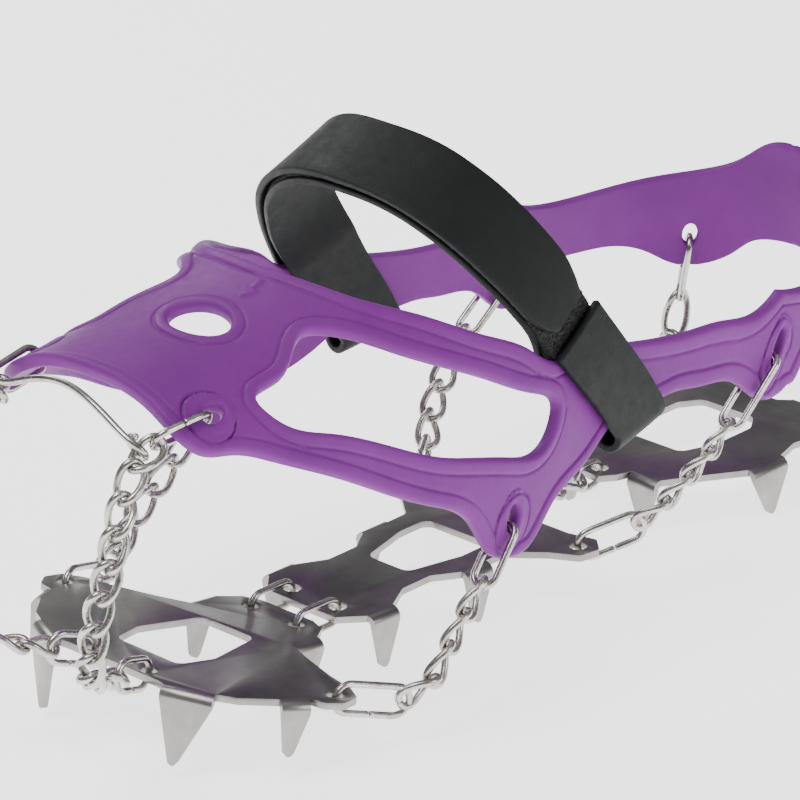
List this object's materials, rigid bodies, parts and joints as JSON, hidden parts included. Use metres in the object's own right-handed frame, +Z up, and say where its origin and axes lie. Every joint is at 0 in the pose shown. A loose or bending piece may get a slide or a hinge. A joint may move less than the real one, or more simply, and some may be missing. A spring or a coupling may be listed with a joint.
{
  "type": "chain crampon",
  "caption": "Chain traction crampon in its worn shape: an elastic harness with an instep strap, lug hooks and twisted chains that hold three toothed steel plates under a boot.",
  "frame": {"origin": "middle of the part's bounding box in plan, at the height of the tooth tips", "axes": "+Z up, away from the ground; -Y towards the toe; +X towards the side that the picture shows"},
  "size_m": [0.1178, 0.2903, 0.1333],
  "materials": {
    "harness": "satin purple moulded elastomer",
    "strap": "matte charcoal band",
    "fuzzy": "black loop pile",
    "steel": "satin stainless sheet with rounded edges",
    "wire": "bright drawn wire with welded or butted joints",
    "chain": "bright twisted links"
  },
  "bodies": {
    "forefoot": {"saddle": "harness", "side_band_near": "harness", "side_band_far": "harness", "front_plate": "steel", "plate_rings": "wire"},
    "midfoot": {"middle_plate": "steel"},
    "heel": {"heel_band": "harness", "heel_plate": "steel"},
    "strap": {"instep_strap": "strap", "fuzzy_pad": "fuzzy"},
    "strap_flap": {"strap_end": "strap"},
    "bail": {"toe_bail": "wire"},
    "arch_link": {"arch_rings": "wire", "arch_chain": "chain"},
    "front_hook_near_body": {"front_hook_near": "wire"},
    "front_run_near": {"front_chain_near": "chain", "front_ring_near": "wire"},
    "middle_run_near": {"middle_hook_near": "wire", "middle_chain_near": "chain", "middle_ring_near": "wire"},
    "heel_run_near": {"heel_hook_near": "wire", "heel_chain_near": "chain", "heel_ring_near": "wire"},
    "rear_run_near": {"rear_hook_near": "wire", "rear_chain_near": "chain", "rear_ring_near": "wire"},
    "front_hook_far_body": {"front_hook_far": "wire"},
    "front_run_far": {"front_chain_far": "chain", "front_ring_far": "wire"},
    "middle_run_far": {"middle_hook_far": "wire", "middle_chain_far": "chain", "middle_ring_far": "wire"},
    "heel_run_far": {"heel_hook_far": "wire", "heel_chain_far": "chain", "heel_ring_far": "wire"},
    "rear_run_far": {"rear_hook_far": "wire", "rear_chain_far": "chain", "rear_ring_far": "wire"}
  },
  "joints": [
    {"name": "plate_rock", "type": "hinge", "parent": "forefoot", "child": "midfoot", "pos_m": [0, -0.0431, 0.0136], "axis": [1, 0, 0], "range_deg": [-0.5, 0.5], "stiffness_Nm_per_rad": 1},
    {"name": "arch_flex", "type": "hinge", "parent": "forefoot", "child": "heel", "pos_m": [0, 0.0229, 0.0136], "axis": [1, 0, 0], "range_deg": [-6, 8], "stiffness_Nm_per_rad": 1, "deforming": ["side_band_near", "side_band_far"]},
    {"name": "strap_shift", "type": "slide", "parent": "forefoot", "child": "strap", "axis": [0, 1, 0], "range_m": [-0.0005, 0.0005]},
    {"name": "flap_peel", "type": "hinge", "parent": "strap", "child": "strap_flap", "pos_m": [-0.04819, 0.00263, 0.08726], "axis": [-0.1913, -0.8807, -0.4333], "range_deg": [0, 75]},
    {"name": "front_hook_swing_near", "type": "hinge", "parent": "forefoot", "child": "front_hook_near_body", "pos_m": [0.02882, -0.10526, 0.0922], "axis": [0.5836, -0.099, 0.806], "range_deg": [-2, 2]},
    {"name": "front_chain_swing_near", "type": "hinge", "parent": "front_hook_near_body", "child": "front_run_near", "pos_m": [0.0269, -0.1211, 0.0908], "axis": [-0.2388, 0.161, -0.9576], "range_deg": [-5, 5]},
    {"name": "middle_chain_swing_near", "type": "hinge", "parent": "forefoot", "child": "middle_run_near", "pos_m": [0.05292, -0.02851, 0.04629], "axis": [-0.0864, -0.8853, -0.4568], "range_deg": [-3, 3]},
    {"name": "heel_chain_swing_near", "type": "hinge", "parent": "heel", "child": "heel_run_near", "pos_m": [0.04548, 0.0789, 0.0545], "axis": [-0.2312, -0.7857, -0.5738], "range_deg": [-5, 5]},
    {"name": "rear_chain_swing_near", "type": "hinge", "parent": "heel", "child": "rear_run_near", "pos_m": [0.02887, 0.13204, 0.051], "axis": [0.0479, -0.1919, -0.9803], "range_deg": [-6, 6]},
    {"name": "front_hook_swing_far", "type": "hinge", "parent": "forefoot", "child": "front_hook_far_body", "pos_m": [-0.02882, -0.10526, 0.0922], "axis": [-0.5836, -0.099, 0.806], "range_deg": [-2, 2]},
    {"name": "front_chain_swing_far", "type": "hinge", "parent": "front_hook_far_body", "child": "front_run_far", "pos_m": [-0.0269, -0.1211, 0.0908], "axis": [0.2388, 0.161, -0.9576], "range_deg": [-5, 5]},
    {"name": "middle_chain_swing_far", "type": "hinge", "parent": "forefoot", "child": "middle_run_far", "pos_m": [-0.05292, -0.02851, 0.04629], "axis": [0.0864, -0.8853, -0.4568], "range_deg": [-3, 3]},
    {"name": "heel_chain_swing_far", "type": "hinge", "parent": "heel", "child": "heel_run_far", "pos_m": [-0.04548, 0.0789, 0.0545], "axis": [0.2312, -0.7857, -0.5738], "range_deg": [-5, 5]},
    {"name": "rear_chain_swing_far", "type": "hinge", "parent": "heel", "child": "rear_run_far", "pos_m": [-0.02887, 0.13204, 0.051], "axis": [-0.0479, -0.1919, -0.9803], "range_deg": [-6, 6]},
    {"name": "bail_tilt", "type": "hinge", "parent": "forefoot", "child": "bail", "pos_m": [0, -0.12385, 0.08983], "axis": [1, 0, 0], "range_deg": [-15, 15]},
    {"name": "arch_chain_turn", "type": "hinge", "parent": "heel", "child": "arch_link", "pos_m": [0, 0.0229, 0.0136], "axis": [0, 0.9999, -0.0123], "range_deg": [-10, 10]}
  ]
}
